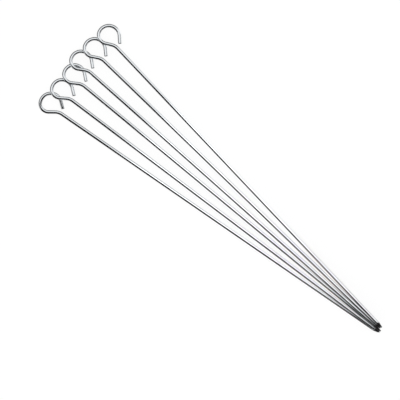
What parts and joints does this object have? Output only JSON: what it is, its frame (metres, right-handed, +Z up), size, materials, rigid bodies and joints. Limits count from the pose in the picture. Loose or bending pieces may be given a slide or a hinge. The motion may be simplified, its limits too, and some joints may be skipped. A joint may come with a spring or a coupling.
{
  "type": "kebab skewer set",
  "caption": "Round stainless wire skewers with an open finger loop and a ground point, laid in a fan with the points stacked and the loops overlapping.",
  "frame": {"origin": "bottom centre of the whole fan's box, on the table", "axes": "+X along the fan's middle line towards the points, +Y across the fan towards the topmost skewer, +Z up from the table"},
  "size_m": [0.365, 0.099, 0.0173],
  "materials": {
    "bright_wire": "polished"
  },
  "bodies": {
    "skewer_1": {"skewer_1": "bright_wire"},
    "skewer_2": {"skewer_2": "bright_wire"},
    "skewer_3": {"skewer_3": "bright_wire"},
    "skewer_4": {"skewer_4": "bright_wire"},
    "skewer_5": {"skewer_5": "bright_wire"},
    "skewer_6": {"skewer_6": "bright_wire"}
  },
  "joints": [
    {"name": "skewer_2_lift", "type": "slide", "parent": "skewer_1", "child": "skewer_2", "axis": [0, 0, 1], "range_m": [0, 0.03]},
    {"name": "skewer_3_lift", "type": "slide", "parent": "skewer_2", "child": "skewer_3", "axis": [0, 0, 1], "range_m": [0, 0.03]},
    {"name": "skewer_4_lift", "type": "slide", "parent": "skewer_3", "child": "skewer_4", "axis": [0, 0, 1], "range_m": [0, 0.03]},
    {"name": "skewer_5_lift", "type": "slide", "parent": "skewer_4", "child": "skewer_5", "axis": [0, 0, 1], "range_m": [0, 0.03]},
    {"name": "skewer_6_lift", "type": "slide", "parent": "skewer_5", "child": "skewer_6", "axis": [0, 0, 1], "range_m": [0, 0.03]}
  ]
}
